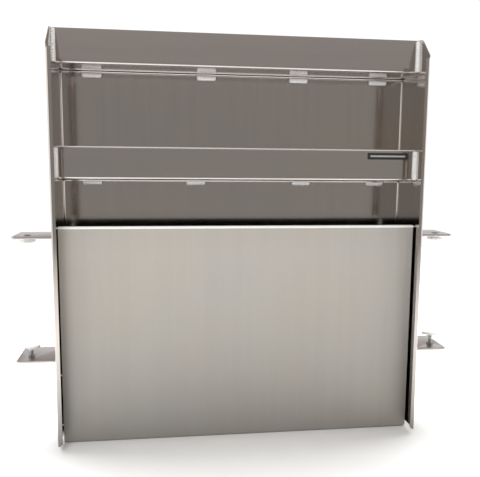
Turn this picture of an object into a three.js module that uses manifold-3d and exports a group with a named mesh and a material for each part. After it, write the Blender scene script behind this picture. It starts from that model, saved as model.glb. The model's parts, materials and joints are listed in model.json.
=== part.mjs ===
// A headache rack: an open-fronted storage shelf unit folded and welded from aluminium sheet.
// Millimetres, +Z up, front towards -Y, origin on the floor under the middle of the whole outline.
import * as THREE from "three";
import { mergeVertices } from "three/addons/utils/BufferGeometryUtils.js";
import Module from "manifold-3d";

// ---- Driving dimensions -------------------------------------------------------------------

const WIDTH = 762; // outside of one side to the outside of the other
const HEIGHT = 852; // underside of the bin to the top edge
const DEPTH = 142; // front flanges to the back face
const SHEET = 2; // thickness of every folded sheet
const BEND = 4; // bend radius at the middle of the sheet
const BEND_STEPS = 4;
const FIT = 0.3; // gap between pieces that touch

const SIDE_FOOT = 11; // the sides stop this far above the bin's underside
const FLANGE = 10; // front return flange of each side
const FLANGE_TOP = 804;
const CORNER_CUT = 46; // cut-off top front corner of each side
const RELIEF_RADIUS = 3; // bend relief where the flange stops
const MITRE = 6; // cut-off inner corner at each flange's foot

const LIP_RETURN = 11; // flange turned back along the top of each lip
const SHELF_TAIL = 4.5; // flange turned down against the back
const CORNER_CLIP = 4;
const TOP_SHELF = { name: "top_shelf", floor: 783, lipTop: HEIGHT, lipFace: 55 };
const MIDDLE_SHELF = { name: "middle_shelf", floor: 554, lipTop: 621, lipFace: 49 };

const BIN_FACE = 38; // front of the bin, behind the front flanges
const BIN_TOP = 459;
const BIN_SIDE_GAP = 4;
const BIN_TAIL = 34; // flange turned up against the back
const BIN_CLIP = 7; // clipped bottom corners

const BRACKET = { front: 42, reachFront: 88, reachRear: 92, corner: 8, thickness: 4 };
const PAD_OFFSET = 62; // a pad's centre, outboard of the side
const PAD_DEPTH = 73; // and behind the front flanges
const UPPER_BRACKET_TOP = 438;
const LOWER_BRACKET_TOP = 179;
const TOOL_HOLE_RADIUS = 2.6;
const TOOL_HOLES = { left: [81, 50], right: [75, 78] }; // outboard of the side, and depth

const STUD_RADIUS = 3.95; // 5/16 inch thread
const INSERT_HOLE = 5.7;
const ROUND_STEPS = 24;
const PAD_STEPS = 36;

const LIP_BEAD = 9; // leg of the fillet weld at a lip's end
const STITCH = { length: 50, height: 9, proud: 3.4 };
const TOP_STITCHES = [-315, -69, 137, 321];
const MIDDLE_STITCHES = [-318, -93, 147, 321];
const BIN_STITCHES = [-300, -100, 100, 300];
const TACK_HEIGHTS = { left: [40, 148, BIN_TOP - 3], right: [BIN_TOP - 3] };

const half = WIDTH / 2;
const inner = half - SHEET;
const backFace = DEPTH - SHEET; // the back panel's front face

// ---- Materials ----------------------------------------------------------------------------

const metal = (color, roughness) =>
  new THREE.MeshStandardMaterial({ color, roughness, metalness: 1 });
const sheetMetal = metal(0xa9a49b, 0.35);
const plateMetal = metal(0xb4b1ab, 0.4);
const weldMetal = metal(0xd8d6d2, 0.3);
const zinc = metal(0x9a9aa0, 0.35);
const nylon = new THREE.MeshStandardMaterial({ color: 0xe9e7e0, roughness: 0.5 });
const labelFilm = new THREE.MeshStandardMaterial({ color: 0x26262a, roughness: 0.4 });

// ---- Joining and cutting ------------------------------------------------------------------

const wasm = await Module();
wasm.setup();

function solid(geometry) {
  const bare = geometry.clone();
  bare.deleteAttribute("normal");
  bare.deleteAttribute("uv");
  const merged = mergeVertices(bare, 1e-4);
  return new wasm.Manifold(
    new wasm.Mesh({
      numProp: 3,
      vertProperties: merged.attributes.position.array,
      triVerts: new Uint32Array(merged.index.array),
    }),
  );
}

function cut(geometry, tools) {
  const left = tools.reduce((body, tool) => body.subtract(solid(tool)), solid(geometry));
  const mesh = left.getMesh();
  const made = new THREE.BufferGeometry();
  made.setAttribute("position", new THREE.BufferAttribute(mesh.vertProperties, 3));
  made.setIndex(new THREE.BufferAttribute(mesh.triVerts, 1));
  made.computeVertexNormals();
  return made;
}

// ---- Basic shapes -------------------------------------------------------------------------

const shapeOf = (points) => new THREE.Shape(points.map(([u, v]) => new THREE.Vector2(u, v)));

function extrude(shape, length) {
  return new THREE.ExtrudeGeometry(shape, {
    depth: length,
    bevelEnabled: false,
    curveSegments: 6,
  });
}

// An outline drawn in (Y, Z), extruded along X from `from` to `to`.
function alongX(shape, from, to) {
  const made = extrude(shape, to - from);
  const turn = new THREE.Matrix4().makeBasis(
    new THREE.Vector3(0, 1, 0),
    new THREE.Vector3(0, 0, 1),
    new THREE.Vector3(1, 0, 0),
  );
  return made.applyMatrix4(turn).translate(from, 0, 0);
}

// An outline drawn in (X, Y), extruded along Z.
const alongZ = (shape, from, to) => extrude(shape, to - from).translate(0, 0, from);

// An outline drawn in (X, Z), extruded along Y.
function alongY(shape, from, to) {
  return extrude(shape, to - from).rotateX(Math.PI / 2).translate(0, to, 0);
}

// The section of a folded sheet: its middle line runs through `corners`, rounded at each fold.
function foldedSection(corners) {
  const points = corners.map(([u, v]) => new THREE.Vector2(u, v));
  const leftSide = [];
  const rightSide = [];
  const addPair = (middle, normal) => {
    leftSide.push(middle.clone().addScaledVector(normal, SHEET / 2));
    rightSide.push(middle.clone().addScaledVector(normal, -SHEET / 2));
  };
  const leftOf = (direction) => new THREE.Vector2(-direction.y, direction.x);
  const heading = (from, to) => to.clone().sub(from).normalize();
  addPair(points[0], leftOf(heading(points[0], points[1])));
  for (let i = 1; i < points.length - 1; i++) {
    const arriving = heading(points[i - 1], points[i]);
    const leaving = heading(points[i], points[i + 1]);
    const turn = Math.atan2(arriving.cross(leaving), arriving.dot(leaving));
    const side = Math.sign(turn);
    const start = points[i].clone().addScaledVector(arriving, -BEND * Math.tan(Math.abs(turn) / 2));
    const centre = start.clone().addScaledVector(leftOf(arriving), side * BEND);
    for (let step = 0; step <= BEND_STEPS; step++) {
      const normal = leftOf(arriving).rotateAround(new THREE.Vector2(), (turn * step) / BEND_STEPS);
      addPair(centre.clone().addScaledVector(normal, -side * BEND), normal);
    }
  }
  const last = points.length - 1;
  addPair(points[last], leftOf(heading(points[last - 1], points[last])));
  return new THREE.Shape([...leftSide, ...rightSide.reverse()]);
}

// A solid of revolution about Z from [radius, height] points listed from the bottom up.
function turned(profile, steps = ROUND_STEPS) {
  const points = profile.map(([radius, height]) => new THREE.Vector2(radius, height));
  return new THREE.LatheGeometry(points, steps).rotateX(Math.PI / 2);
}

function cylinder(radius, from, to) {
  return turned([[0, from], [radius, from], [radius, to], [0, to]]);
}

// ---- The scene graph ----------------------------------------------------------------------

export const rack = new THREE.Group();
const body = new THREE.Group();
body.position.y = -DEPTH / 2;
rack.add(body);

function add(name, geometry, material, parent = body) {
  const mesh = new THREE.Mesh(geometry, material);
  mesh.name = name;
  parent.add(mesh);
  return mesh;
}

const sides = [
  { word: "left", sign: -1 },
  { word: "right", sign: 1 },
];

// ---- Back and sides: one sheet folded four times ------------------------------------------

function backAndSides() {
  const middle = half - SHEET / 2;
  const front = SHEET / 2;
  const rear = DEPTH - SHEET / 2;
  const section = foldedSection([
    [-half + FLANGE, front],
    [-middle, front],
    [-middle, rear],
    [middle, rear],
    [middle, front],
    [half - FLANGE, front],
  ]);
  const cornerCut = shapeOf([
    [-1, HEIGHT - CORNER_CUT],
    [CORNER_CUT * 0.83, HEIGHT - 5],
    [CORNER_CUT, HEIGHT - 1.2],
    [CORNER_CUT * 1.25, HEIGHT + 1],
    [-1, HEIGHT + 1],
  ]);
  const cuts = [alongX(cornerCut, -half - 1, half + 1)];
  for (const { sign } of sides) {
    const relief = cylinder(RELIEF_RADIUS, -1, SHEET + BEND).rotateX(-Math.PI / 2);
    cuts.push(relief.translate(sign * half, 0, FLANGE_TOP));
    const flangeEnd = shapeOf([
      [sign * (half + 1), FLANGE_TOP],
      [sign * (half - FLANGE - 1), FLANGE_TOP],
      [sign * (half - FLANGE - 1), HEIGHT],
      [sign * (half + 1), HEIGHT],
    ]);
    cuts.push(alongY(flangeEnd, -1, SHEET + 0.5));
    const footMitre = shapeOf([
      [sign * (half - FLANGE - 1), SIDE_FOOT - 1],
      [sign * (half - FLANGE + MITRE), SIDE_FOOT - 1],
      [sign * (half - FLANGE - 1), SIDE_FOOT + MITRE],
    ]);
    cuts.push(alongY(footMitre, -1, SHEET + 1));
  }
  add("back_and_sides", cut(alongZ(section, SIDE_FOOT, HEIGHT), cuts), sheetMetal);
}

// ---- Shelves: lip with a return, floor, and a tail turned down against the back -----------

function shelf({ name, floor, lipTop, lipFace }) {
  const face = lipFace + SHEET / 2;
  const tail = backFace - FIT - SHEET / 2;
  const section = foldedSection([
    [lipFace + LIP_RETURN, lipTop - SHEET / 2],
    [face, lipTop - SHEET / 2],
    [face, floor + SHEET / 2],
    [tail, floor + SHEET / 2],
    [tail, floor - SHELF_TAIL],
  ]);
  // The rear corners are clipped to clear the rounded corners of the back.
  const clips = sides.map(({ sign }) => {
    const clip = shapeOf([
      [sign * (inner - CORNER_CLIP), backFace + 1],
      [sign * (inner + 1), backFace + 1],
      [sign * (inner + 1), backFace - CORNER_CLIP],
      [sign * inner, backFace - CORNER_CLIP],
      [sign * (inner - CORNER_CLIP), backFace],
    ]);
    return alongZ(clip, floor - SHELF_TAIL - 1, floor + SHEET + BEND);
  });
  add(name, cut(alongX(section, -inner + FIT, inner - FIT), clips), sheetMetal);
}

// ---- Bin: front panel with a returned top, floor, and a tail turned up against the back ---

function bin() {
  const face = BIN_FACE + SHEET / 2;
  const tail = backFace - FIT - SHEET / 2;
  const end = inner - BIN_SIDE_GAP;
  const section = foldedSection([
    [BIN_FACE + LIP_RETURN, BIN_TOP - SHEET / 2],
    [face, BIN_TOP - SHEET / 2],
    [face, SHEET / 2],
    [tail, SHEET / 2],
    [tail, BIN_TAIL],
  ]);
  const clips = sides.map(({ sign }) => {
    const clip = shapeOf([
      [sign * (end - BIN_CLIP), -1],
      [sign * (end + 1), -1],
      [sign * (end + 1), BIN_CLIP],
    ]);
    return alongY(clip, BIN_FACE - 1, BIN_FACE + SHEET + BEND);
  });
  add("bin", cut(alongX(section, -end, end), clips), sheetMetal);
}

// ---- Brackets: flat plates welded to the outside of the sides -----------------------------

function bracket(name, sign, top) {
  const { front, reachFront, reachRear, corner, thickness } = BRACKET;
  const root = half + FIT;
  const outline = shapeOf([
    [sign * root, front],
    [sign * (half + reachFront - corner), front],
    [sign * (half + reachFront - corner * 0.3), front + corner * 0.3],
    [sign * (half + reachFront + 0.5), front + corner],
    [sign * (half + reachRear), DEPTH - 2],
    [sign * (half + reachRear - 2), DEPTH],
    [sign * (half + 6), DEPTH],
    [sign * root, DEPTH - 6],
  ]);
  const plate = alongZ(outline, top - thickness, top);
  const holeAt = (radius, outboard, depth) =>
    cylinder(radius, top - thickness - 1, top + 1).translate(sign * (half + outboard), depth, 0);
  const holes = [
    holeAt(INSERT_HOLE, PAD_OFFSET, PAD_DEPTH),
    holeAt(TOOL_HOLE_RADIUS, ...TOOL_HOLES[sign > 0 ? "right" : "left"]),
  ];
  add(name, cut(plate, holes), plateMetal);
  for (const [where, edge, up] of [["top", top + FIT, 1], ["bottom", top - thickness - FIT, -1]]) {
    const leg = 4;
    const section = shapeOf([
      [sign * root, edge],
      [sign * (root + leg), edge],
      [sign * (root + leg * 0.55), edge + up * leg * 0.55],
      [sign * root, edge + up * leg],
    ]);
    add(`${name}_weld_${where}`, alongY(section, front + 6, DEPTH - 14), weldMetal);
  }
}

// ---- Feet: pads on threaded studs through the brackets ------------------------------------

// A foot is drawn with its plate's face at z = 0 and its pad facing +Z.
function footGroup(sign, level, pointsUp) {
  const group = new THREE.Group();
  group.position.set(sign * (half + PAD_OFFSET), PAD_DEPTH, level);
  if (!pointsUp) group.rotation.x = Math.PI;
  body.add(group);
  return group;
}

const ARC_STEPS = 6;
function arc(centre, radius, fromDegrees, toDegrees) {
  return Array.from({ length: ARC_STEPS + 1 }, (_, step) => {
    const angle = ((fromDegrees + ((toDegrees - fromDegrees) * step) / ARC_STEPS) * Math.PI) / 180;
    return [radius * Math.cos(angle), centre + radius * Math.sin(angle)];
  });
}

const INSERT = { body: 5.3, bore: 4.35, flange: 7.2, flangeThickness: 1.1 };

function insert(name, group) {
  const far = -BRACKET.thickness - FIT;
  const ring = turned([
    [INSERT.bore, far - INSERT.flangeThickness],
    [INSERT.flange, far - INSERT.flangeThickness],
    [INSERT.flange, far],
    [INSERT.body, far],
    [INSERT.body, 0],
    [INSERT.bore, 0],
    [INSERT.bore, far - INSERT.flangeThickness],
  ]);
  add(name, ring, zinc, group);
}

// Upper foot: the pad is screwed right up to its plate, on a short stud with a hexagon socket.
const UPPER = { gap: 0.6, thickness: 9, radius: 15.5, headRadius: 6, headHeight: 2.6 };

function upperFoot(prefix, sign) {
  const group = footGroup(sign, UPPER_BRACKET_TOP - BRACKET.thickness, false);
  const { gap, thickness, radius, headRadius, headHeight } = UPPER;
  const face = gap + thickness;
  const pocket = gap + 5.6;
  const padProfile = [
    [STUD_RADIUS + 0.5, gap],
    [radius - 0.8, gap],
    [radius, gap + 0.8],
    [radius, face - 0.8],
    [radius - 0.8, face],
    [0, face],
    [0, pocket],
    [headRadius + 0.5, pocket],
    [headRadius + 0.5, pocket - headHeight - 0.8],
    [STUD_RADIUS + 0.5, pocket - headHeight - 0.8],
    [STUD_RADIUS + 0.5, gap],
  ];
  add(`${prefix}_pad`, turned(padProfile, PAD_STEPS), nylon, group);
  const tip = -BRACKET.thickness - 1.6;
  const socketDepth = 3;
  const stud = turned([
    [0, tip + socketDepth],
    [1.9, tip + socketDepth],
    [1.9, tip],
    [STUD_RADIUS - 0.6, tip],
    [STUD_RADIUS, tip + 0.6],
    [STUD_RADIUS, pocket - 0.4 - headHeight],
    [headRadius, pocket - 0.4 - headHeight],
    [headRadius, pocket - 0.4],
    [0, pocket - 0.4],
  ]);
  add(`${prefix}_stud`, stud, zinc, group);
  insert(`${prefix}_insert`, group);
}

// Lower foot: a swivel pad on a ferrule at the end of a long stud, locked by a jam nut.
const LOWER = { reach: 30, thickness: 8, radius: 18.7, pivot: 4.2, ball: 4.6, tail: 9 };
const NUT = { acrossFlats: 12.7, thickness: 4.8 };

function lowerFoot(prefix, sign, lean, tilt) {
  const group = footGroup(sign, LOWER_BRACKET_TOP, true);
  const { reach, thickness, radius, pivot, ball, tail } = LOWER;
  const pivotHeight = reach - pivot;
  const socket = ball + 0.5;

  // The pad is drawn about its pivot, so that it can lean there.
  const padFace = pivot;
  const padBack = pivot - thickness;
  const padProfile = [
    [socket + 0.5, padBack],
    [radius - 1.8, padBack + 0.4],
    [radius, padBack + 2.2],
    [radius, padFace - 2.6],
    [radius - 2.2, padFace],
    [0, padFace],
    [0, socket - 1.7],
    [socket - 1.6, socket - 1.7],
    [socket, 1.2],
    [socket, padBack + 1.4],
    [socket + 0.5, padBack],
  ];
  const pad = add(`${prefix}_pad`, turned(padProfile, PAD_STEPS), nylon, group);
  pad.position.z = pivotHeight;
  pad.rotation.set(THREE.MathUtils.degToRad(lean), THREE.MathUtils.degToRad(tilt), 0);

  // The ferrule: a ball head in the pad's socket, a neck, and a column down to the stud.
  const bore = 2.7;
  const collar = -thickness + pivot - 1.4;
  const ferruleFoot = collar - 6.2;
  const ferrule = turned([
    [bore, ferruleFoot],
    [4.6, ferruleFoot],
    [4.6, collar - 0.9],
    [3.9, collar],
    [3.2, collar],
    ...arc(0, ball, -45, 20),
    [2.9, 2.4],
    [0, 2.4],
    [0, 1.6],
    [bore, 1.6],
    [bore, ferruleFoot],
  ]);
  const ferruleMesh = add(`${prefix}_ferrule`, ferrule, zinc, group);
  ferruleMesh.position.z = pivotHeight;

  const shoulder = pivotHeight + ferruleFoot - FIT;
  const pin = 2.4;
  const tip = -BRACKET.thickness - tail;
  const stud = turned([
    [0, tip],
    [STUD_RADIUS - 0.7, tip],
    [STUD_RADIUS, tip + 0.7],
    [STUD_RADIUS, shoulder],
    [pin, shoulder],
    [pin, pivotHeight + 1.2],
    [0, pivotHeight + 1.2],
  ]);
  add(`${prefix}_stud`, stud, zinc, group);
  insert(`${prefix}_insert`, group);

  const cornerRadius = NUT.acrossFlats / 2 / Math.cos(Math.PI / 6);
  const hexagon = shapeOf(
    Array.from({ length: 6 }, (_, corner) => [
      cornerRadius * Math.cos((corner * Math.PI) / 3),
      cornerRadius * Math.sin((corner * Math.PI) / 3),
    ]),
  );
  const nutHole = cylinder(STUD_RADIUS + 0.4, -1, NUT.thickness + 2);
  const nut = cut(alongZ(hexagon, FIT, FIT + NUT.thickness), [nutHole]);
  add(`${prefix}_jam_nut`, nut, zinc, group);
}

// ---- Welds --------------------------------------------------------------------------------

// A fillet bead where a shelf's lip meets a side, standing in front of the lip.
function lipBead(name, sign, { floor, lipTop, lipFace }) {
  const wall = sign * (inner - FIT);
  const into = -sign;
  const front = lipFace - FIT;
  const section = shapeOf([
    [wall, front],
    [wall, front - LIP_BEAD],
    [wall + into * LIP_BEAD * 0.45, front - LIP_BEAD * 0.88],
    [wall + into * LIP_BEAD * 0.88, front - LIP_BEAD * 0.45],
    [wall + into * LIP_BEAD, front],
  ]);
  add(name, alongZ(section, floor + 1, lipTop - 2), weldMetal);
}

// A stitch bead on the back panel, along the edge of a tail: above it or below it.
function stitchBead(name, x, edge, up) {
  const { length, height, proud } = STITCH;
  const wall = backFace - FIT;
  const near = edge + up * FIT;
  const section = shapeOf([
    [wall, near],
    [wall - proud * 0.75, near],
    [wall - proud, near + up * height * 0.3],
    [wall - proud * 0.75, near + up * height * 0.68],
    [wall, near + up * height],
  ]);
  add(name, alongX(section, x - length / 2, x + length / 2), weldMetal);
}

// A tack across the gap between the bin and a side.
function tack(name, sign, height) {
  const width = BIN_SIDE_GAP - 2 * FIT;
  const ball = new THREE.SphereGeometry(width / 2, 10, 8).scale(1, 1.1, 1.3);
  const middle = inner - BIN_SIDE_GAP / 2;
  add(name, ball.translate(sign * middle, BIN_FACE + 2, height), weldMetal);
}

// ---- Assembly -----------------------------------------------------------------------------

backAndSides();
bin();
for (const shape of [TOP_SHELF, MIDDLE_SHELF]) {
  shelf(shape);
  for (const { word, sign } of sides) lipBead(`${shape.name}_weld_${word}`, sign, shape);
}

const shelfTailEdge = (shape) => shape.floor - SHELF_TAIL;
TOP_STITCHES.forEach((x, i) =>
  stitchBead(`top_shelf_stitch_${i + 1}`, x, shelfTailEdge(TOP_SHELF), -1),
);
MIDDLE_STITCHES.forEach((x, i) =>
  stitchBead(`middle_shelf_stitch_${i + 1}`, x, shelfTailEdge(MIDDLE_SHELF), -1),
);
BIN_STITCHES.forEach((x, i) => stitchBead(`bin_stitch_${i + 1}`, x, BIN_TAIL, 1));

for (const { word, sign } of sides) {
  TACK_HEIGHTS[word].forEach((height, i) => tack(`bin_tack_${word}_${i + 1}`, sign, height));
  bracket(`upper_${word}_bracket`, sign, UPPER_BRACKET_TOP);
  bracket(`lower_${word}_bracket`, sign, LOWER_BRACKET_TOP);
  upperFoot(`upper_${word}`, sign);
}
lowerFoot("lower_left", -1, 0, 8);
lowerFoot("lower_right", 1, -10, 6);

const LABEL = { x: 316, width: 90, height: 14, middle: 607, thickness: 0.3 };
const label = new THREE.BoxGeometry(LABEL.width, LABEL.thickness, LABEL.height);
label.translate(LABEL.x, MIDDLE_SHELF.lipFace - FIT - LABEL.thickness / 2, LABEL.middle);
add("label", label, labelFilm);

export default rack;
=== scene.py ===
"""Looks for the headache rack: folded aluminium sheet, rippled welds, zinc screws and nylon pads."""

import json
import math

import bmesh
import bpy
from mathutils import Matrix, Vector, noise


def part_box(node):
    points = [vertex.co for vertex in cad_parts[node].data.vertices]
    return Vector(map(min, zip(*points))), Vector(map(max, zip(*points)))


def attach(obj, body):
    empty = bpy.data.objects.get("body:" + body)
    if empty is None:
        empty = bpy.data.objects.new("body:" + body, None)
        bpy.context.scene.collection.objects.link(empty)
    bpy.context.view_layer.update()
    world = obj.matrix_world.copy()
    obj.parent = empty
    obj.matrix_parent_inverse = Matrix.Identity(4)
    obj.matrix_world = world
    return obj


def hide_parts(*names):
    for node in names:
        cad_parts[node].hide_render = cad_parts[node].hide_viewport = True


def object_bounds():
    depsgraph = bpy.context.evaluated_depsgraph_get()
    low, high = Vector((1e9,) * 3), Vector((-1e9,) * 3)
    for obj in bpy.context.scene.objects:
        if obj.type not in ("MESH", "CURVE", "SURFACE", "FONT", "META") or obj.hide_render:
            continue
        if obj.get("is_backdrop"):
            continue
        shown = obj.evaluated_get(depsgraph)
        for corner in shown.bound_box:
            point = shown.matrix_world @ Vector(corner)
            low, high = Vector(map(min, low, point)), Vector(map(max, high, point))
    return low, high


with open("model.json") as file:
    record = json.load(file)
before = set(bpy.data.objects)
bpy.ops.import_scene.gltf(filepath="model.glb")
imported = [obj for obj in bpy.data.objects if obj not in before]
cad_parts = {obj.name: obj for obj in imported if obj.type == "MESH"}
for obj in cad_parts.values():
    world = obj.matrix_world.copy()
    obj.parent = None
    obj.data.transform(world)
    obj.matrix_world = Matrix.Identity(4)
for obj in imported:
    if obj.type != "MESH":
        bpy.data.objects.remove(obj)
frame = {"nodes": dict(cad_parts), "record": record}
cad_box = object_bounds()
MM = 0.001
nodes = frame["nodes"]
node_body = {n: b for b, ns in frame["record"]["behaviour"]["bodies"].items() for n in ns}

# ---- Sizes, read from the frame or repeated from the part ---------------------------------

SHELL_LOW, SHELL_HIGH = (Vector(c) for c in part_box("back_and_sides"))
BIN_LOW, BIN_HIGH = (Vector(c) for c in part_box("bin"))
FRONT, REAR = SHELL_LOW.y, SHELL_HIGH.y
HALF = SHELL_HIGH.x
TOP = SHELL_HIGH.z
SHEET = 2 * MM
BEND = 4 * MM
FLANGE = 10 * MM
FLANGE_TOP = 804 * MM
CORNER_CUT = 46 * MM
MITRE = 6 * MM
RETURN = 11 * MM
SHELF_TAIL = 4.5 * MM
BIN_TAIL = 34 * MM
BRACKET_REACH = 88 * MM
BRACKET_CORNER = 8 * MM
STUD_HOLE = (62 * MM, 73 * MM, 5.7 * MM)  # outboard of the side, depth, radius
TOOL_HOLES = {-1: (81 * MM, 50 * MM, 2.6 * MM), 1: (75 * MM, 78 * MM, 2.6 * MM)}
PAD_LEANS = {-1: (0, 8), 1: (-10, 6)}  # degrees about X, then about Y, of each lower pad
PIVOT_ABOVE_PLATE = 25.8 * MM
GAP = 0.3 * MM
STUD_RADIUS = 3.95 * MM
THREAD_PITCH = 25.4 / 18 * MM
THREAD_DEPTH = 0.75 * MM
NUT_ACROSS = 12.7 * MM
NUT_THICKNESS = 4.8 * MM
BEND_STEPS = 9
RUN_STEP = 18 * MM
HOLD_FLAT = 0.6 * MM  # how close to a bend the flat face is still flat
EDGE_ROUND = 0.35 * MM
RELIEF_RADIUS = 3 * MM
BIN_CLIP = 7 * MM
LIP_BEAD_SHARE = 0.78  # a lip bead's leg, as a share of its node's
WAVE_LIMIT = 1.35  # the folded sheets' two noises together stay within this
NOISE_ROUGHNESS = 0.55
GROOVE = 0.34  # how deep the valleys between a weld's ripples go
FLOOR_REACH = 3.0  # beyond it the world's white shows


# ---- Mesh helpers -------------------------------------------------------------------------

def new_object(name, verts, faces, sharp_degrees=35):
    mesh = bpy.data.meshes.new(name)
    mesh.from_pydata([tuple(v) for v in verts], [], faces)
    edit = bmesh.new()
    edit.from_mesh(mesh)
    bmesh.ops.remove_doubles(edit, verts=edit.verts, dist=1e-6)
    bmesh.ops.recalc_face_normals(edit, faces=edit.faces)
    edit.to_mesh(mesh)
    edit.free()
    smooth_by_angle(mesh, sharp_degrees)
    made = bpy.data.objects.new(name, mesh)
    bpy.context.scene.collection.objects.link(made)
    return made


def smooth_by_angle(mesh, degrees):
    mesh.polygons.foreach_set("use_smooth", [True] * len(mesh.polygons))
    mesh.set_sharp_from_angle(angle=math.radians(degrees))


def apply_modifiers(obj, sharp_degrees=35):
    graph = bpy.context.evaluated_depsgraph_get()
    made = bpy.data.meshes.new_from_object(obj.evaluated_get(graph))
    obj.modifiers.clear()
    obj.data = made
    smooth_by_angle(made, sharp_degrees)


def carve(obj, cutters):
    for cutter in cutters:
        cut = obj.modifiers.new("cut", "BOOLEAN")
        cut.operation = "DIFFERENCE"
        cut.solver = "MANIFOLD"
        cut.object = cutter
    apply_modifiers(obj)
    for cutter in cutters:
        bpy.data.objects.remove(cutter)


def round_edges(obj, width=EDGE_ROUND, segments=2, degrees=50):
    bevel = obj.modifiers.new("round", "BEVEL")
    bevel.width = width
    bevel.segments = segments
    bevel.limit_method = "ANGLE"
    bevel.angle_limit = math.radians(degrees)
    bevel.harden_normals = False
    apply_modifiers(obj, 40)


def prism(outline, low, high, axis):
    """A cutter: an outline in the two other axes, between low and high along axis."""
    place = {
        "x": lambda u, v, w: (w, u, v),
        "y": lambda u, v, w: (u, w, v),
        "z": lambda u, v, w: (u, v, w),
    }[axis]
    count = len(outline)
    verts = [place(u, v, w) for w in (low, high) for u, v in outline]
    faces = [tuple(range(count)), tuple(range(count, 2 * count))]
    for i in range(count):
        j = (i + 1) % count
        faces.append((i, j, j + count, i + count))
    return new_object("cutter", verts, faces)


def revolve(name, profile, steps=64, closed=False):
    """A solid of revolution about Z from (radius, height) pairs, in metres."""
    verts = []
    faces = []
    rows = len(profile)
    for k in range(steps):
        angle = 2 * math.pi * k / steps
        for radius, height in profile:
            verts.append((radius * math.cos(angle), radius * math.sin(angle), height))
    last = rows if closed else rows - 1
    for k in range(steps):
        here, there = k * rows, (k + 1) % steps * rows
        for i in range(last):
            j = (i + 1) % rows
            faces.append((here + i, there + i, there + j, here + j))
    return new_object(name, verts, faces)


def join(name, objects, sharp_degrees=35):
    """One object from several, for pieces drawn in loose parts."""
    edit = bmesh.new()
    for obj in objects:
        edit.from_mesh(obj.data)
        bpy.data.objects.remove(obj)
    mesh = bpy.data.meshes.new(name)
    edit.to_mesh(mesh)
    edit.free()
    smooth_by_angle(mesh, sharp_degrees)
    made = bpy.data.objects.new(name, mesh)
    bpy.context.scene.collection.objects.link(made)
    return made


def stands_for(piece, node, material):
    piece.data.materials.clear()
    piece.data.materials.append(material)
    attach(piece, node_body[node])
    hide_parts(node)


# ---- Materials ----------------------------------------------------------------------------

class Shader:
    """A principled material with a few helpers for wiring procedural detail."""

    def __init__(self, name):
        self.material = bpy.data.materials.new(name)
        self.material.use_nodes = True
        self.tree = self.material.node_tree
        self.principled = self.tree.nodes["Principled BSDF"]
        self.position = self.add("ShaderNodeTexCoord").outputs["Object"]

    def add(self, kind, **settings):
        node = self.tree.nodes.new(kind)
        for key, value in settings.items():
            setattr(node, key, value)
        return node

    def link(self, source, target):
        self.tree.links.new(source, target)

    def noise(self, scale, detail=3.0):
        mapping = self.add("ShaderNodeMapping")
        mapping.inputs["Scale"].default_value = scale
        self.link(self.position, mapping.inputs["Vector"])
        tex = self.add("ShaderNodeTexNoise")
        tex.inputs["Scale"].default_value = 1.0
        tex.inputs["Detail"].default_value = detail
        tex.inputs["Roughness"].default_value = NOISE_ROUGHNESS
        self.link(mapping.outputs["Vector"], tex.inputs["Vector"])
        return tex.outputs["Fac"]

    def spread(self, source, low, high, to_low, to_high):
        node = self.add("ShaderNodeMapRange")
        node.inputs["From Min"].default_value = low
        node.inputs["From Max"].default_value = high
        node.inputs["To Min"].default_value = to_low
        node.inputs["To Max"].default_value = to_high
        self.link(source, node.inputs["Value"])
        return node.outputs["Result"]

    def math(self, operation, first, second):
        node = self.add("ShaderNodeMath", operation=operation)
        for slot, value in zip(node.inputs, (first, second)):
            if isinstance(value, (int, float)):
                slot.default_value = value
            else:
                self.link(value, slot)
        return node.outputs["Value"]

    def mix(self, factor, first, second, blend="MIX"):
        node = self.add("ShaderNodeMix", data_type="RGBA", blend_type=blend)
        for slot, value in ((node.inputs[0], factor), (node.inputs[6], first), (node.inputs[7], second)):
            if isinstance(value, (int, float)):
                slot.default_value = value
            elif isinstance(value, tuple):
                slot.default_value = (*value, 1.0)
            else:
                self.link(value, slot)
        return node.outputs[2]

    def bump(self, height, strength, distance):
        node = self.add("ShaderNodeBump")
        node.inputs["Strength"].default_value = strength
        node.inputs["Distance"].default_value = distance
        self.link(height, node.inputs["Height"])
        return node.outputs["Normal"]

    def set(self, **values):
        names = {"color": "Base Color", "rough": "Roughness", "metal": "Metallic", "normal": "Normal"}
        for key, value in values.items():
            slot = self.principled.inputs[names.get(key, key)]
            if isinstance(value, (int, float)):
                slot.default_value = value
            elif isinstance(value, tuple):
                slot.default_value = (*value, 1.0)
            else:
                self.link(value, slot)


def mill_aluminium(name, tone, grain, rough, grain_depth=0.02, painted_foot_shade=1.0, bend_highlight_above=None):
    """Rolled sheet: faint streaks along the grain axis, soft clouds and pits.

    The foot shade is how much of its tone is left at the floor, a painted shade that darkens the sheet towards
    its foot; a painted highlight, a whitened band along a bend, may begin at a height."""
    s = Shader(name)
    color, gloss, streaks = mill_finish(s, tone, grain, rough)
    axes = s.add("ShaderNodeSeparateXYZ")
    s.link(s.position, axes.inputs[0])
    if painted_foot_shade < 1.0:
        # painted shade: the tone darkens towards the floor, standing in for a darker reflection near the foot
        color = s.mix(1.0, color, s.spread(axes.outputs["Z"], 0.0, 0.24, painted_foot_shade, 1.0), "MULTIPLY")
    metal = 1.0
    if bend_highlight_above is not None:
        # painted highlight: a near-white band along the bend at this height, with less metal and more roughness
        bend_highlight = s.spread(axes.outputs["Z"], bend_highlight_above - 0.4 * MM, bend_highlight_above + 0.4 * MM, 0.0, 1.0)
        color = s.mix(bend_highlight, color, (0.92, 0.90, 0.88))
        gloss = s.math("MAXIMUM", gloss, s.math("MULTIPLY", bend_highlight, 0.5))
        metal = s.spread(bend_highlight, 0.0, 1.0, 1.0, 0.35)
    s.set(color=color, rough=gloss, metal=metal, normal=s.bump(streaks, grain_depth, 0.0004))
    return s.material


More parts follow.
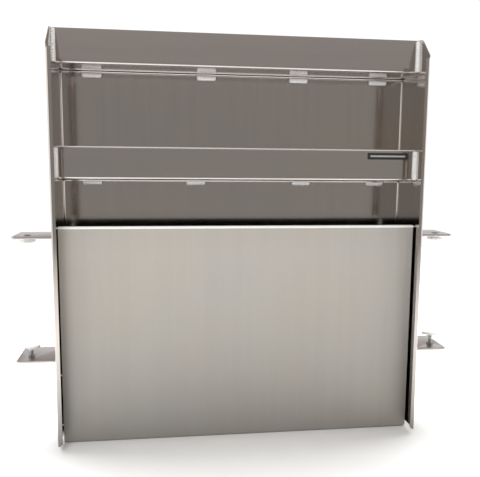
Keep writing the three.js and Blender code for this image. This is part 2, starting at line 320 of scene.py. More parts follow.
def mill_finish(s, tone, grain, rough):
    streak_scale = tuple(10.0 if axis == grain else 1500.0 for axis in "xyz")
    band_scale = tuple(1.5 if axis == grain else 45.0 for axis in "xyz")
    streaks = s.noise(streak_scale, detail=4)
    bands = s.noise(band_scale, detail=3)
    clouds = s.noise((4.0, 4.0, 4.0), detail=4)
    specks = s.noise((700.0, 700.0, 700.0), detail=1)
    dark = tuple(c * 0.975 for c in tone)
    light = tuple(min(1.0, c * 1.02) for c in tone)
    color = s.mix(s.spread(streaks, 0.3, 0.7, 0.0, 1.0), dark, light)
    warm = s.mix(s.spread(clouds, 0.35, 0.65, 0.0, 1.0), (0.97, 0.98, 1.0), (1.0, 0.985, 0.955))
    color = s.mix(1.0, color, warm, "MULTIPLY")
    color = s.mix(1.0, color, s.spread(bands, 0.35, 0.65, 0.97, 1.0), "MULTIPLY")
    color = s.mix(1.0, color, s.spread(specks, 0.72, 0.80, 1.0, 0.9), "MULTIPLY")
    gloss = s.math("ADD", s.spread(streaks, 0.25, 0.75, *rough), s.spread(clouds, 0.3, 0.7, -0.015, 0.02))
    return color, gloss, streaks


def satin_bin():
    """The bin: brushed down its front face, with a painted highlight along its hem's bend and painted shade
    towards its foot; inside, a glossier plain metal whose dark colour is painted shade.
    """
    s = Shader("bin_satin_front")
    color, gloss, streaks = mill_finish(s, (0.51, 0.485, 0.445), "z", (0.42, 0.50))
    axes = s.add("ShaderNodeSeparateXYZ")
    s.link(s.position, axes.inputs[0])
    inside = s.spread(axes.outputs["Y"], BIN_LOW.y + 1.2 * MM, BIN_LOW.y + 1.8 * MM, 0.0, 1.0)
    hem = BIN_HIGH.z - SHEET / 2 - BEND
    # painted shade: the tone darkens towards the floor, standing in for a darker reflection near the foot
    bin_foot_shade = s.spread(axes.outputs["Z"], 0.0, 0.40, 0.58, 1.0)
    color = s.mix(1.0, color, bin_foot_shade, "MULTIPLY")
    # painted shade: behind the front skin the colour turns dark, where shade falls inside the bin
    color = s.mix(inside, color, (0.26, 0.24, 0.25))
    # painted highlight: a near-white band along the hem's bend, with less metal and more roughness
    on_bend = s.math("LESS_THAN", axes.outputs["Y"], BIN_LOW.y + SHEET / 2 + BEND)
    bend_highlight = s.spread(axes.outputs["Z"], hem - 0.6 * MM, hem + 0.6 * MM, 0.0, 1.0)
    bend_highlight = s.math("MULTIPLY", bend_highlight, on_bend)
    color = s.mix(bend_highlight, color, (0.97, 0.965, 0.95))
    gloss = s.math("MULTIPLY", gloss, s.spread(inside, 0.0, 1.0, 1.0, 0.35))
    gloss = s.math("MAXIMUM", gloss, s.math("MULTIPLY", bend_highlight, 0.5))
    metal = s.spread(inside, 0.0, 1.0, 0.35, 1.0)
    metal = s.math("MULTIPLY", metal, s.spread(bend_highlight, 0.0, 1.0, 1.0, 0.15))
    facing = s.add("ShaderNodeNewGeometry").outputs["Normal"]
    across = s.add("ShaderNodeVectorMath", operation="CROSS_PRODUCT")
    s.link(facing, across.inputs[0])
    across.inputs[1].default_value = (0.0, 0.0, 1.0)
    s.link(across.outputs["Vector"], s.principled.inputs["Tangent"])
    s.principled.inputs["Anisotropic"].default_value = 0.5
    s.set(color=color, rough=gloss, metal=metal, normal=s.bump(streaks, 0.05, 0.0004))
    return s.material


def weld_aluminium():
    """Bright bead metal, darkened where its attribute says: darker at the bead's ends, and painted shade in the
    valleys between ripples.
    """
    s = Shader("weld_bead")
    dark_ends_and_shade = s.add("ShaderNodeAttribute", attribute_name="dark_ends_and_shade").outputs["Fac"]
    grit = s.noise((1600.0, 1600.0, 1600.0), detail=3)
    patches = s.noise((220.0, 220.0, 220.0), detail=2)
    bright = s.mix(s.spread(patches, 0.35, 0.65, 0.0, 1.0), (0.88, 0.87, 0.86), (0.97, 0.965, 0.96))
    color = s.mix(dark_ends_and_shade, bright, (0.055, 0.05, 0.05))
    rough = s.math("ADD", s.spread(grit, 0.3, 0.7, 0.30, 0.42), s.math("MULTIPLY", dark_ends_and_shade, 0.4))
    s.set(color=color, rough=rough, metal=0.6, normal=s.bump(grit, 0.15, 0.0002))
    return s.material


def zinc_steel():
    s = Shader("zinc_plate")
    grain = s.noise((900.0, 900.0, 900.0), detail=3)
    tint = s.noise((120.0, 120.0, 120.0), detail=2)
    color = s.mix(s.spread(tint, 0.35, 0.65, 0.0, 1.0), (0.42, 0.43, 0.46), (0.55, 0.54, 0.52))
    rough = s.spread(grain, 0.3, 0.7, 0.26, 0.42)
    s.set(color=color, rough=rough, metal=1.0, normal=s.bump(grain, 0.1, 0.0001))
    return s.material


def white_nylon():
    s = Shader("white_nylon")
    cloud = s.noise((60.0, 60.0, 60.0), detail=3)
    orange_peel = s.noise((1100.0, 1100.0, 1100.0), detail=2)
    scuffs = s.noise((90.0, 500.0, 500.0), detail=4)
    color = s.mix(s.spread(cloud, 0.35, 0.65, 0.0, 1.0), (0.84, 0.83, 0.80), (0.90, 0.89, 0.87))
    color = s.mix(s.spread(scuffs, 0.62, 0.74, 0.0, 0.35), color, (0.50, 0.48, 0.45))
    rough = s.spread(orange_peel, 0.3, 0.7, 0.38, 0.5)
    s.set(color=color, rough=rough, normal=s.bump(orange_peel, 0.12, 0.0002))
    s.principled.inputs["Subsurface Weight"].default_value = 0.15
    s.principled.inputs["Subsurface Radius"].default_value = (0.004, 0.004, 0.0035)
    return s.material


def label_film(half_width, half_height, centre):
    """A plain dark film with one pale stripe and no lettering."""
    s = Shader("label_film")
    axes = s.add("ShaderNodeSeparateXYZ")
    s.link(s.position, axes.inputs[0])
    off_x = s.math("ABSOLUTE", s.math("SUBTRACT", axes.outputs["X"], centre.x), 0.0)
    off_z = s.math("ABSOLUTE", s.math("SUBTRACT", axes.outputs["Z"], centre.z), 0.0)
    stripe = s.math(
        "MULTIPLY",
        s.math("LESS_THAN", off_x, half_width * 0.86),
        s.math("LESS_THAN", off_z, half_height * 0.26),
    )
    wear = s.noise((400.0, 400.0, 400.0), detail=3)
    ink = s.mix(s.spread(wear, 0.3, 0.7, 0.0, 1.0), (0.018, 0.018, 0.020), (0.030, 0.029, 0.030))
    s.set(color=s.mix(stripe, ink, (0.36, 0.35, 0.34)), rough=s.spread(wear, 0.3, 0.7, 0.25, 0.4))
    return s.material


def pale_floor():
    s = Shader("floor")
    cloud = s.noise((1.5, 1.5, 1.5), detail=3)
    color = s.mix(s.spread(cloud, 0.3, 0.7, 0.0, 1.0), (0.88, 0.88, 0.875), (0.90, 0.90, 0.895))
    s.set(color=color, rough=0.7)
    return s.material


# the shell gets painted shade towards its foot
SHELL_METAL = mill_aluminium("sheet_vertical_grain", (0.64, 0.60, 0.57), "z", (0.10, 0.14), painted_foot_shade=0.34)
SHELF_METAL = {
    "top_shelf": mill_aluminium("top_shelf_level_grain", (0.68, 0.64, 0.62), "x", (0.11, 0.15)),
    # the middle shelf gets a painted highlight along its lip's top bend
    "middle_shelf": mill_aluminium(
        "middle_shelf_level_grain", (0.66, 0.63, 0.60), "x", (0.11, 0.15),
        bend_highlight_above=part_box("middle_shelf")[1][2] - 2.4 * MM),
}
BIN_METAL = satin_bin()
PLATE_METAL = mill_aluminium("plate_grain", (0.63, 0.585, 0.57), "x", (0.30, 0.40), 0.04)
WELD_METAL = weld_aluminium()
ZINC = zinc_steel()
NYLON = white_nylon()


# ---- Folded sheet -------------------------------------------------------------------------

def folded_section(corners):
    """Stations along a folded sheet's line: (point at the sheet's middle, normal, warp weight)."""
    points = [Vector(c) for c in corners]
    stations = []

    def left(direction):
        return Vector((-direction.y, direction.x))

    def run(start, end, normal):
        length = (end - start).length
        count = max(1, round(length / RUN_STEP))
        shares = [i / count for i in range(count + 1)]
        if length > 4 * HOLD_FLAT:
            shares = [0.0, HOLD_FLAT / length] + shares[1:-1] + [1 - HOLD_FLAT / length, 1.0]
        for share in shares:
            weight = math.sin(math.pi * share) * min(1, length / 0.1)
            stations.append((start.lerp(end, share), normal, weight))

    start = points[0]
    for i in range(1, len(points) - 1):
        arriving = (points[i] - points[i - 1]).normalized()
        leaving = (points[i + 1] - points[i]).normalized()
        turn = math.atan2(arriving.cross(leaving), arriving.dot(leaving))
        side = math.copysign(1, turn)
        setback = BEND * math.tan(abs(turn) / 2)
        tangent = points[i] - arriving * setback
        run(start, tangent, left(arriving))
        centre = tangent + left(arriving) * side * BEND
        for k in range(1, BEND_STEPS):
            angle = turn * k / BEND_STEPS
            normal = left(arriving).copy()
            normal.rotate(Matrix.Rotation(angle, 2))
            stations.append((centre - normal * side * BEND, normal, 0.0))
        start = points[i] + leaving * setback
    run(start, points[-1], left((points[-1] - start).normalized()))
    return stations


def folded_sheet(name, corners, low, high, axis, warp, seed):
    """Sweeps a folded section along X or Z, with the faint waviness of thin sheet.

    The waves only push towards the normal, or away from it where warp is negative."""
    section = folded_section(corners)
    steps = max(2, round((high - low) / RUN_STEP))
    count = len(section)
    verts = []
    for k in range(steps + 1):
        share = k / steps
        along = low + (high - low) * share
        ends = math.sin(math.pi * share) ** 0.5
        for middle, normal, weight in section:
            wave = noise.noise(Vector((middle.x * 5 + seed, middle.y * 5, along * 4.2)))
            wave += 0.35 * noise.noise(Vector((middle.x * 13, middle.y * 13 + seed, along * 11)))
            shift = normal * ((wave + WAVE_LIMIT) / (2 * WAVE_LIMIT) * warp * weight * ends)
            for side in (1, -1):
                u, v = middle + shift + normal * (side * SHEET / 2)
                verts.append((along, u, v) if axis == "x" else (u, v, along))
    faces = []
    row = 2 * count
    for k in range(steps):
        a, b = k * row, (k + 1) * row
        for i in range(count - 1):
            p, q = 2 * i, 2 * (i + 1)
            faces.append((a + p, a + q, b + q, b + p))
            faces.append((a + p + 1, b + p + 1, b + q + 1, a + q + 1))
        faces.append((a, b, b + 1, a + 1))
        end = row - 2
        faces.append((a + end, a + end + 1, b + end + 1, b + end))
    for a in (0, steps * row):
        for i in range(count - 1):
            p, q = 2 * i, 2 * (i + 1)
            faces.append((a + p, a + p + 1, a + q + 1, a + q))
    return new_object(name, verts, faces)


def back_and_sides():
    middle = HALF - SHEET / 2
    front, rear = FRONT + SHEET / 2, REAR - SHEET / 2
    corners = [
        (-HALF + FLANGE, front), (-middle, front), (-middle, rear),
        (middle, rear), (middle, front), (HALF - FLANGE, front),
    ]
    shell = folded_sheet("shell", corners, SHELL_LOW.z, TOP, "z", -0.6 * MM, 3.0)
    over = 1 * MM
    cut = CORNER_CUT
    corner = [
        (FRONT - over, TOP - cut), (FRONT + cut * 0.80, TOP - 6.2 * MM),
        (FRONT + cut * 0.93, TOP - 2.4 * MM), (FRONT + cut * 1.08, TOP - 0.6 * MM),
        (FRONT + cut * 1.3, TOP + over), (FRONT - over, TOP + over),
    ]
    cutters = [prism(corner, -HALF - over, HALF + over, "x")]
    for sign in (-1, 1):
        outside, inside = sign * (HALF + over), sign * (HALF - FLANGE - over)
        flange_end = [(outside, FLANGE_TOP), (inside, FLANGE_TOP), (inside, TOP), (outside, TOP)]
        cutters.append(prism(flange_end, FRONT - over, FRONT + SHEET + 0.5 * MM, "y"))
        relief = [
            (sign * HALF + RELIEF_RADIUS * math.cos(a), FLANGE_TOP + RELIEF_RADIUS * math.sin(a))
            for a in (2 * math.pi * k / 20 for k in range(20))
        ]
        cutters.append(prism(relief, FRONT - over, FRONT + SHEET + BEND, "y"))
        low = SHELL_LOW.z
        mitre_foot = sign * (HALF - FLANGE + MITRE)
        mitre = [(inside, low - over), (mitre_foot, low - over), (inside, low + MITRE)]
        cutters.append(prism(mitre, FRONT - over, FRONT + SHEET + over, "y"))
        toe = [
            (sign * (HALF + over), low - over), (sign * (HALF - 3 * MM), low - over),
            (sign * (HALF - 1 * MM), low + 0.6 * MM), (sign * (HALF + over), low + 3 * MM),
        ]
        cutters.append(prism(toe, FRONT - over, FRONT + SHEET + 1.5 * MM, "y"))
    carve(shell, cutters)
    round_edges(shell)
    stands_for(shell, "back_and_sides", SHELL_METAL)


def shelf(node, seed):
    low, high = (Vector(c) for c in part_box(node))
    face, tail = low.y + SHEET / 2, high.y - SHEET / 2
    floor = low.z + SHELF_TAIL + SHEET / 2
    top = high.z - SHEET / 2
    corners = [(low.y + RETURN, top), (face, top), (face, floor), (tail, floor), (tail, low.z)]
    piece = folded_sheet(node + "_sheet", corners, low.x, high.x, "x", 0.4 * MM, seed)
    cutters = []
    clip = 4.2 * MM
    for sign in (-1, 1):
        edge = high.x * sign
        outline = [
            (edge - sign * clip, high.y), (edge + sign * clip, high.y + clip),
            (edge + sign * clip, high.y - clip), (edge, high.y - clip),
        ]
        cutters.append(prism(outline, low.z - clip, floor + clip, "z"))
    carve(piece, cutters)
    round_edges(piece)
    stands_for(piece, node, SHELF_METAL[node])


def bin_sheet():
    low, high = BIN_LOW, BIN_HIGH
    face, tail = low.y + SHEET / 2, high.y - SHEET / 2
    top, floor = high.z - SHEET / 2, low.z + SHEET / 2
    corners = [(low.y + RETURN, top), (face, top), (face, floor), (tail, floor), (tail, BIN_TAIL)]
    piece = folded_sheet("bin_sheet", corners, low.x, high.x, "x", 0.6 * MM, 9.0)
    cutters = []
    over, clip = 1 * MM, BIN_CLIP
    for sign in (-1, 1):
        edge = high.x * sign
        outline = [
            (edge - sign * clip, low.z - over), (edge + sign * over, low.z - over),
            (edge + sign * over, low.z + clip),
        ]
        cutters.append(prism(outline, low.y - over, low.y + SHEET + BEND, "y"))
    carve(piece, cutters)
    round_edges(piece)
    stands_for(piece, "bin", BIN_METAL)


# ---- Welds --------------------------------------------------------------------------------

def ripple(along, across, pitch):
    """Height of a stacked-coin weld: crescents that lean back towards the middle of the bead."""
    lean = 0.55 * (1 - (2 * across - 1) ** 2)
    phase = (along / pitch - lean) % 1.0
    return math.sqrt(max(0.0, 1 - (1.7 * phase - 0.75) ** 2))


def weld_run(name, node, place, length, pitch, legs, arch, seed, scale_ends=0.0):
    """A bead swept along a straight seam. place(along, a, b) turns seam coordinates into a point.

    The bead fills the corner between the two legs a and b; arch pushes its face outwards."""
    steps = max(12, round(length / (pitch / 9)))
    across_steps = 12
    verts, faces, dark_ends_and_shade = [], [], []
    row = across_steps + 2
    for k in range(steps + 1):
        share = k / steps
        along = length * share
        wobble = 0.97 + 0.06 * noise.noise(Vector((along * 160, seed, 0)))
        from_end = min(share, 1 - share) * length
        end = min(1.0, max(0.0, from_end - scale_ends) / (0.45 * legs[0]))
        taper = math.sqrt(max(0.0, 1 - (1 - end) ** 2)) * 0.84 + 0.16
        for i in range(across_steps + 1):
            across = i / across_steps
            angle = math.pi / 2 * across
            crest = ripple(along, across, pitch)
            swell = (1 - GROOVE + GROOVE * crest) * wobble * taper
            push = 1 + arch * math.sin(2 * angle)
            flat = 1 / (math.cos(angle) + math.sin(angle))
            reach = swell * push * flat
            verts.append(place(along, legs[0] * math.cos(angle) * reach, legs[1] * math.sin(angle) * reach))
            # darker at the bead's ends; painted shade in the valleys between ripples
            fading = 0.6 * max(0.0, 1 - (from_end - scale_ends) / (0.5 * pitch))
            end_scale = 1.0 if from_end < scale_ends else fading
            dark_ends_and_shade.append(max(end_scale, 0.62 * (1 - crest)))
        verts.append(place(along, 0.0, 0.0))
        dark_ends_and_shade.append(0.8)
    for k in range(steps):
        a, b = k * row, (k + 1) * row
        for i in range(row):
            j = (i + 1) % row
            faces.append((a + i, a + j, b + j, b + i))
    faces.append(tuple(range(row)))
    faces.append(tuple(range(steps * row, (steps + 1) * row)))
    low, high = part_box(node)
    verts = [tuple(min(max(v[i], low[i]), high[i]) for i in range(3)) for v in verts]
    mesh = bpy.data.meshes.new(name)
    mesh.from_pydata(verts, [], faces)
    mesh.attributes.new("dark_ends_and_shade", "FLOAT", "POINT").data.foreach_set("value", dark_ends_and_shade)
    edit = bmesh.new()
    edit.from_mesh(mesh)
    bmesh.ops.recalc_face_normals(edit, faces=edit.faces)
    edit.to_mesh(mesh)
    edit.free()
    smooth_by_angle(mesh, 50)
    bead = bpy.data.objects.new(name, mesh)
    bpy.context.scene.collection.objects.link(bead)
    stands_for(bead, node, WELD_METAL)


def lip_weld(node, seed):
    low, high = (Vector(c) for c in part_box(node))
    inward = -1 if low.x > 0 else 1
    wall = high.x if inward < 0 else low.x
    leg = (high.x - low.x) * LIP_BEAD_SHARE

    def place(along, a, b):
        return (wall + inward * a, high.y - b, low.z + along)

    weld_run(node + "_bead", node, place, high.z - low.z, 5.7 * MM, (leg, leg), 0.34, seed)


def stitch_weld(node, seed):
    low, high = (Vector(c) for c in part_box(node))
    upward = node.startswith("bin")
    edge = low.z if upward else high.z
    sign = 1 if upward else -1
    proud = high.y - low.y
    height = high.z - low.z

    def place(along, a, b):
        return (low.x + along, high.y - b, edge + sign * a)

    legs = (height, proud)
    weld_run(node + "_bead", node, place, high.x - low.x, 4.6 * MM, legs, 0.35, seed, 3.5 * MM)


def bracket_weld(node, seed):
    low, high = (Vector(c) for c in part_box(node))
    outward = 1 if low.x > 0 else -1
    wall = low.x if outward > 0 else high.x
    top = node.endswith("top")
    level, up = (low.z, 1) if top else (high.z, -1)

    def place(along, a, b):
        return (wall + outward * a, low.y + along, level + up * b)

    leg = high.x - low.x
    weld_run(node + "_bead", node, place, high.y - low.y, 4.2 * MM, (leg, leg), 0.3, seed)


def tack_weld(node, seed):
    low, high = (Vector(c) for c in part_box(node))
    centre, size = (low + high) / 2, (high - low) / 2
    edit = bmesh.new()
    bmesh.ops.create_icosphere(edit, subdivisions=4, radius=1.0)
    for vert in edit.verts:
        lump = 0.94 + 0.06 * noise.noise(vert.co * 2.3 + Vector((seed, 0, 0)))
        ring = 1 - 0.05 * max(0.0, math.sin(9 * vert.co.z))
        scaled = Vector(vert.co[i] * size[i] for i in range(3)) * min(1.0, lump * ring)
        vert.co = centre + scaled
    mesh = bpy.data.meshes.new(node + "_bead")
    edit.to_mesh(mesh)
    edit.free()
    smooth_by_angle(mesh, 60)
    bead = bpy.data.objects.new(node + "_bead", mesh)
    bpy.context.scene.collection.objects.link(bead)
    stands_for(bead, node, WELD_METAL)


# ---- Brackets -----------------------------------------------------------------------------

def bracket(node):
    low, high = (Vector(c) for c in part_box(node))
    outward = 1 if low.x > 0 else -1
    root = (low.x if outward > 0 else high.x) * outward
    tip = (high.x if outward > 0 else low.x) * outward
    corner = BRACKET_CORNER
    nose = root + BRACKET_REACH - GAP
    outline = [(root, low.y)]
    for k in range(9):
        angle = math.pi / 2 * k / 8
        across, back = corner * math.sin(angle), corner * math.cos(angle)
        outline.append((nose - corner + across, low.y + corner - back))
    outline += [(tip, high.y - 2 * MM), (tip - 0.6 * MM, high.y - 0.5 * MM), (tip - 2 * MM, high.y)]
    outline += [(root + 5.7 * MM, high.y), (root, high.y - 6 * MM)]
    outline = [(outward * u, v) for u, v in outline]
    plate = prism(outline, low.z, high.z, "z")
    plate.name = plate.data.name = node + "_plate"
    holes = []
    for out, deep, radius in (STUD_HOLE, TOOL_HOLES[outward]):
        x, y = outward * (HALF + out), FRONT + deep
        turns = [2 * math.pi * k / 48 for k in range(48)]
        ring = [(x + radius * math.cos(a), y + radius * math.sin(a)) for a in turns]
        holes.append(prism(ring, low.z - 1 * MM, high.z + 1 * MM, "z"))
    carve(plate, holes)
    round_edges(plate, 0.5 * MM, 3)
    stands_for(plate, node, PLATE_METAL)


# ---- Feet ---------------------------------------------------------------------------------

def threaded_rod(name, radius, low, high):
    """The thread's ribbon between low and high, open at its ends; a plain core goes inside it."""
    steps = 20
    rows = 4
    root = radius - THREAD_DEPTH
    shape = [(0.0, root), (0.42, radius), (0.58, radius), (1.0, root)]
    turns = (high - low) / THREAD_PITCH
    total = int(turns * steps)
    verts, faces = [], []
    for k in range(total + 1):
        angle = 2 * math.pi * k / steps
        start = low + (high - low - THREAD_PITCH) * k / total
        for share, r in shape:
            verts.append((r * math.cos(angle), r * math.sin(angle), start + share * THREAD_PITCH * 0.999))
    for k in range(total):
        a, b = k * rows, (k + 1) * rows
        for i in range(rows - 1):
            faces.append((a + i, b + i, b + i + 1, a + i + 1))
    mesh = bpy.data.meshes.new(name)
    mesh.from_pydata(verts, [], faces)
    made = bpy.data.objects.new(name, mesh)
    bpy.context.scene.collection.objects.link(made)
    return made


def foot_axis(node):
    low, high = (Vector(c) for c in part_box(node))
    return (low.x + high.x) / 2, (low.y + high.y) / 2


def put(obj, matrix):
    obj.data.transform(matrix)
    if matrix.determinant() < 0:
        obj.data.flip_normals()


def hex_nut(name, across_flats, thickness, bore):
    """A nut with turned chamfers on both faces, drawn ring by ring."""
    steps = 72
    verts, faces = [], []
    flat = across_flats / 2
    for k in range(steps):
        angle = 2 * math.pi * k / steps
        fold = (angle + math.pi / 6) % (math.pi / 3) - math.pi / 6
        reach = flat / math.cos(fold)
        drop = (reach - flat * 0.97) * math.tan(math.radians(28))
        rings = [
            (bore, 0.4 * MM), (bore + 0.5 * MM, 0.0), (flat * 0.96, 0.0), (reach, drop),
            (reach, thickness - drop), (flat * 0.96, thickness),
            (bore + 0.5 * MM, thickness), (bore, thickness - 0.4 * MM),
        ]
        verts += [(r * math.cos(angle), r * math.sin(angle), z) for r, z in rings]
    profile_count = len(rings)
    for k in range(steps):
        a, b = k * profile_count, (k + 1) % steps * profile_count
        for i in range(profile_count):
            j = (i + 1) % profile_count
            faces.append((a + i, b + i, b + j, a + j))
    return new_object(name, verts, faces, 25)


def insert_ring(node, flips):
    low, high = (Vector(c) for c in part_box(node))
    x, y = foot_axis(node)
    height = high.z - low.z
    profile = [
        (4.35, 0.5), (4.75, 0.0), (6.5, 0.0), (7.0, 0.25), (7.2, 0.6), (7.2, 0.95), (7.0, 1.1), (5.3, 1.1),
        (5.3, height / MM - 0.5), (5.0, height / MM), (4.8, height / MM), (4.35, height / MM - 0.5),
    ]
    ring = revolve(node + "_ring", [(r * MM, z * MM) for r, z in profile], 64, closed=True)
    turn = Matrix.Rotation(math.pi, 4, "X") if flips else Matrix.Identity(4)
    put(ring, Matrix.Translation((x, y, high.z if flips else low.z)) @ turn)
    stands_for(ring, node, ZINC)


def upper_foot(prefix):
    pad_low, pad_high = (Vector(c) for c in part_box(prefix + "_pad"))
    x, y = foot_axis(prefix + "_pad")
    at = Matrix.Translation((x, y, pad_high.z)) @ Matrix.Rotation(math.pi, 4, "X")
    pad = revolve(prefix + "_pad_moulding", [(r * MM, z * MM) for r, z in [
        (4.45, 0.0), (14.7, 0.0), (15.25, 0.2), (15.5, 0.8),
        (15.5, 3.1), (15.42, 3.25), (15.5, 3.4), (15.5, 8.3),
        (15.38, 8.7), (15.0, 8.95), (14.5, 9.0), (6.0, 9.0), (5.7, 8.8), (5.2, 8.6),
        (0.9, 8.6), (0.6, 8.75), (0.0, 8.8),
    ]], 72)
    pocket = revolve("pocket", [(r * MM, z * MM) for r, z in [
        (0.0, 5.0), (6.5, 5.0), (6.5, 1.6), (4.45, 1.6), (4.45, 0.0),
    ]], 72)
    pad = join(prefix + "_pad_moulding", [pad, pocket])
    put(pad, at)
    stands_for(pad, prefix + "_pad", NYLON)

    stud_low, stud_high = (Vector(c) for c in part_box(prefix + "_stud"))
    length = (stud_high.z - stud_low.z) / MM
    core = (STUD_RADIUS - THREAD_DEPTH) / MM
    body = revolve(prefix + "_stud_body", [(a * MM, z * MM) for a, z in [
        (0.0, 3.4), (1.75, 3.0), (1.9, 0.15), (2.1, 0.0),
        (core - 0.1, 0.0), (core, 0.3), (core, length - 2.6),
        (5.6, length - 2.6), (6.0, length - 2.2), (6.0, length - 0.6), (5.6, length), (0.0, length),
    ]], 48)
    rod = threaded_rod(prefix + "_thread", STUD_RADIUS, 0.3 * MM, (length - 2.8) * MM)
    stud = join(prefix + "_screw", [body, rod])
    put(stud, Matrix.Translation((x, y, stud_high.z)) @ Matrix.Rotation(math.pi, 4, "X"))
    stands_for(stud, prefix + "_stud", ZINC)
    insert_ring(prefix + "_insert", True)


def lower_foot(prefix):
    stud_low, stud_high = (Vector(c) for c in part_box(prefix + "_stud"))
    x, y = foot_axis(prefix + "_stud")
    plate_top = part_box(prefix + "_bracket")[1][2]
    pivot = plate_top + PIVOT_ABOVE_PLATE
    lean, tilt = (math.radians(a) for a in PAD_LEANS[1 if x > 0 else -1])
    at = Matrix.Translation((x, y, pivot)) @ Matrix.Rotation(lean, 4, "X") @ Matrix.Rotation(tilt, 4, "Y")
    back = -3.8
    pad = revolve(prefix + "_pad_moulding", [(r * MM, z * MM) for r, z in [
        (5.6, back), (9.3, back), (9.8, back + 0.1), (16.6, back + 0.35),
        (17.6, back + 0.7), (18.3, back + 1.3), (18.7, back + 2.2),
        (18.7, 0.2), (18.62, 0.35), (18.7, 0.5), (18.7, 1.4), (18.5, 2.2), (18.0, 3.0),
        (17.3, 3.65), (16.4, 4.05), (15.4, 4.2), (6.2, 4.2), (5.8, 4.0),
        (5.2, 3.85), (0.9, 3.85), (0.6, 4.0), (0.0, 4.02),
    ]], 72)
    socket = revolve("socket", [(r * MM, z * MM) for r, z in [
        (0.0, 3.4), (3.5, 3.4), (5.1, 1.2), (5.1, back + 1.4), (5.6, back),
    ]], 72)
    pad = join(prefix + "_pad_moulding", [pad, socket])
    put(pad, at)
    stands_for(pad, prefix + "_pad", NYLON)

    collar = -5.2
    foot = collar - 6.2
    arc = [math.radians(-45 + 65 * k / 10) for k in range(11)]
    ball = [(4.6 * math.cos(a), 4.6 * math.sin(a)) for a in arc]
    ferrule = revolve(prefix + "_ferrule_turning", [(r * MM, z * MM) for r, z in [
        (2.7, foot), (4.3, foot), (4.6, foot + 0.3), (4.6, collar - 0.9),
        (4.4, collar - 0.5), (3.9, collar), (3.2, collar), *ball, (2.9, 2.4), (0.0, 2.4), (0.0, 1.6), (2.7, 1.6),
    ]], 64, closed=True)
    put(ferrule, Matrix.Translation((x, y, pivot)))
    stands_for(ferrule, prefix + "_ferrule", ZINC)

    tip = (stud_low.z - plate_top) / MM
    shoulder = (PIVOT_ABOVE_PLATE - GAP) / MM + foot
    core = (STUD_RADIUS - THREAD_DEPTH) / MM
    body = revolve(prefix + "_stud_body", [(r * MM, z * MM) for r, z in [
        (0.0, tip), (core - 0.5, tip), (core, tip + 0.5), (core, shoulder - 0.2), (core - 0.3, shoulder),
        (2.4, shoulder), (2.4, 26.7), (2.1, 27.0), (0.0, 27.0),
    ]], 48)
    rod = threaded_rod(prefix + "_thread", STUD_RADIUS, (tip + 0.4) * MM, (shoulder - 0.2) * MM)
    stud = join(prefix + "_screw", [body, rod])
    put(stud, Matrix.Translation((x, y, plate_top)))
    stands_for(stud, prefix + "_stud", ZINC)
    insert_ring(prefix + "_insert", False)

    nut = hex_nut(prefix + "_nut", NUT_ACROSS, NUT_THICKNESS, STUD_RADIUS + GAP)
    put(nut, Matrix.Translation((x, y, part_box(prefix + "_jam_nut")[0][2])))
    stands_for(nut, prefix + "_jam_nut", ZINC)


# ---- Label --------------------------------------------------------------------------------

def label():
    low, high = (Vector(c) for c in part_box("label"))
    corner = 2 * MM
    outline = []
    for cx, cz, start in (
        (high.x - corner, high.z - corner, 0), (low.x + corner, high.z - corner, 90),
        (low.x + corner, low.z + corner, 180), (high.x - corner, low.z + corner, 270),
    ):
        for k in range(7):
            angle = math.radians(start + 15 * k)
            outline.append((cx + corner * math.cos(angle), cz + corner * math.sin(angle)))
    film = prism(outline, low.y, high.y, "y")
    film.name = film.data.name = "label_blank"
    centre, size = (low + high) / 2, (high - low) / 2
    stands_for(film, "label", label_film(size.x, size.z, centre))


# ---- Studio -------------------------------------------------------------------------------

def floor():
    reach = FLOOR_REACH
    verts = [(-reach, -reach, 0), (reach, -reach, 0), (reach, reach, 0), (-reach, reach, 0)]
    ground = new_object("floor", [(x, y, -0.2 * MM) for x, y, _ in verts], [(0, 1, 2, 3)])
    ground.data.materials.append(pale_floor())
    ground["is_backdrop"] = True


def lamp(name, energy, place, target, size):
    """A soft box that lights things without showing as a shape in the metal."""
    data = bpy.data.lights.new(name, "AREA")
    data.energy = energy
    data.shape = "RECTANGLE"
    data.size, data.size_y = size
    light = bpy.data.objects.new(name, data)
    light.location = place
    light.rotation_euler = (Vector(target) - Vector(place)).to_track_quat("-Z", "Y").to_euler()
    light.visible_glossy = False
    bpy.context.scene.collection.objects.link(light)


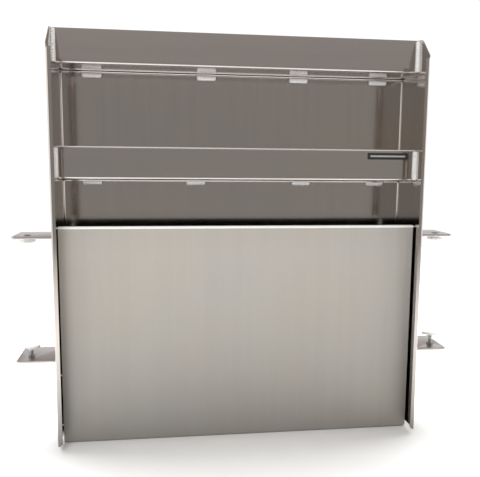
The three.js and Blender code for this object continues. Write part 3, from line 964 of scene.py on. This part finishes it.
def studio():
    """A white cove behind, a dimmer room in front for the metal to mirror, and two soft lights."""
    world = bpy.data.worlds.new("studio")
    bpy.context.scene.world = world
    world.use_nodes = True
    tree = world.node_tree
    coords = tree.nodes.new("ShaderNodeTexCoord")
    axes = tree.nodes.new("ShaderNodeSeparateXYZ")
    tree.links.new(coords.outputs["Generated"], axes.inputs[0])
    sideways = tree.nodes.new("ShaderNodeMath")
    sideways.operation = "ABSOLUTE"
    tree.links.new(axes.outputs["X"], sideways.inputs[0])

    def layer(under, source, start, end, color):
        blend = tree.nodes.new("ShaderNodeMapRange")
        blend.interpolation_type = "SMOOTHSTEP"
        blend.inputs["From Min"].default_value = start
        blend.inputs["From Max"].default_value = end
        tree.links.new(source, blend.inputs["Value"])
        mix = tree.nodes.new("ShaderNodeMix")
        mix.data_type = "RGBA"
        tree.links.new(blend.outputs["Result"], mix.inputs[0])
        if isinstance(under, tuple):
            mix.inputs[6].default_value = (*under, 1)
        else:
            tree.links.new(under, mix.inputs[6])
        mix.inputs[7].default_value = (*color, 1)
        return mix.outputs[2]

    light = layer((0.30, 0.285, 0.27), axes.outputs["Z"], 0.14, 0.26, (0.38, 0.35, 0.335))
    light = layer(light, sideways.outputs[0], 0.62, 0.86, (1.35, 1.33, 1.30))
    light = layer(light, axes.outputs["Y"], 0.10, 0.60, (1.06, 1.06, 1.06))
    light = layer(light, axes.outputs["Z"], 0.30, 0.42, (0.36, 0.34, 0.33))
    tree.links.new(light, tree.nodes["Background"].inputs["Color"])
    lamp("overhead", 230, (0, 1.15, 2.4), (0, 1.9, 0), (4.0, 2.4))
    lamp("key", 30, (-0.65, -1.75, 1.95), (0, 0, 0.35), (1.3, 1.1))


def camera():
    data = bpy.data.cameras.new("camera")
    data.lens = 41.872
    data.sensor_width = 36
    view = bpy.data.objects.new("camera", data)
    yaw, pitch, roll = -7.045, -6.7505, 0.41
    place = Matrix.Translation((-0.1475, -1.1888, 0.5704))
    turn = (
        Matrix.Rotation(math.radians(yaw), 4, "Z")
        @ Matrix.Rotation(math.radians(90 + pitch), 4, "X")
        @ Matrix.Rotation(math.radians(roll), 4, "Z")
    )
    view.matrix_world = place @ turn
    bpy.context.scene.collection.objects.link(view)
    bpy.context.scene.camera = view


# ---- Build --------------------------------------------------------------------------------

camera()
studio()
floor()
back_and_sides()
shelf("top_shelf", 5.0)
shelf("middle_shelf", 12.0)
bin_sheet()
for number, name in enumerate(sorted(nodes)):
    if "_stitch_" in name:
        stitch_weld(name, number)
    elif "_bracket_weld_" in name:
        bracket_weld(name, number)
    elif "_weld_" in name:
        lip_weld(name, number)
    elif "_tack_" in name:
        tack_weld(name, number)
    elif name.endswith("_bracket"):
        bracket(name)
for side in ("left", "right"):
    upper_foot("upper_" + side)
    lower_foot("lower_" + side)
label()

bpy.context.scene.view_settings.view_transform = "Standard"
boxes = {"cad": cad_box, "visual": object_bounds()}
{name: [list(map(float, corner)) for corner in box] for name, box in boxes.items()}
